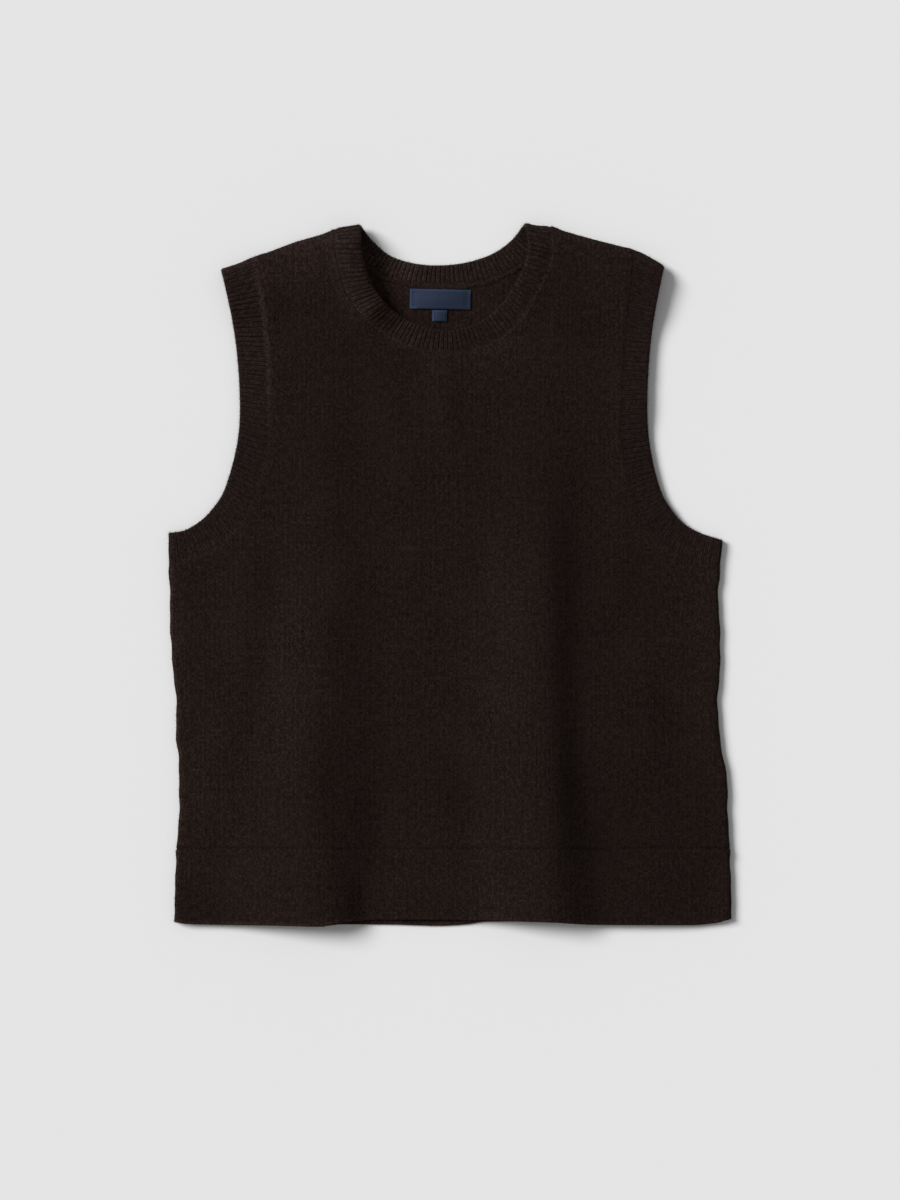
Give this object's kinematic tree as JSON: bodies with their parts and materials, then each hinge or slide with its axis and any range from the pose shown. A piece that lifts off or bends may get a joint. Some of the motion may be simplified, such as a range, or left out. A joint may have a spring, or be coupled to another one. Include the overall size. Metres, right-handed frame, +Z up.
{
  "type": "knitted vest",
  "caption": "Sleeveless knitted vest laid flat, with a round ribbed neckband, ribbed armhole bands and a deep turned-up hem",
  "frame": {"origin": "centre of the vest's outline, on the surface that it lies on", "axes": "+X across the body to the right as seen from above, +Y from the hem to the neck, +Z up from the back to the front"},
  "size_m": [0.5089, 0.6339, 0.0189],
  "materials": {
    "body_knit": "brushed dark brown wool jersey, soft and matt",
    "rib_knit": "dark brown wool one by one rib, matt",
    "label_cloth": "blank woven navy label, slight satin sheen"
  },
  "bodies": {
    "root": {"front_panel": "body_knit", "back_panel": "body_knit", "front_hem": "body_knit", "back_hem": "body_knit", "neckband_front": "rib_knit", "neckband_back": "rib_knit", "armband_left_front": "rib_knit", "armband_left_back": "rib_knit", "armband_right_front": "rib_knit", "armband_right_back": "rib_knit", "neck_label": "label_cloth", "size_label": "label_cloth"}
  },
  "joints": []
}
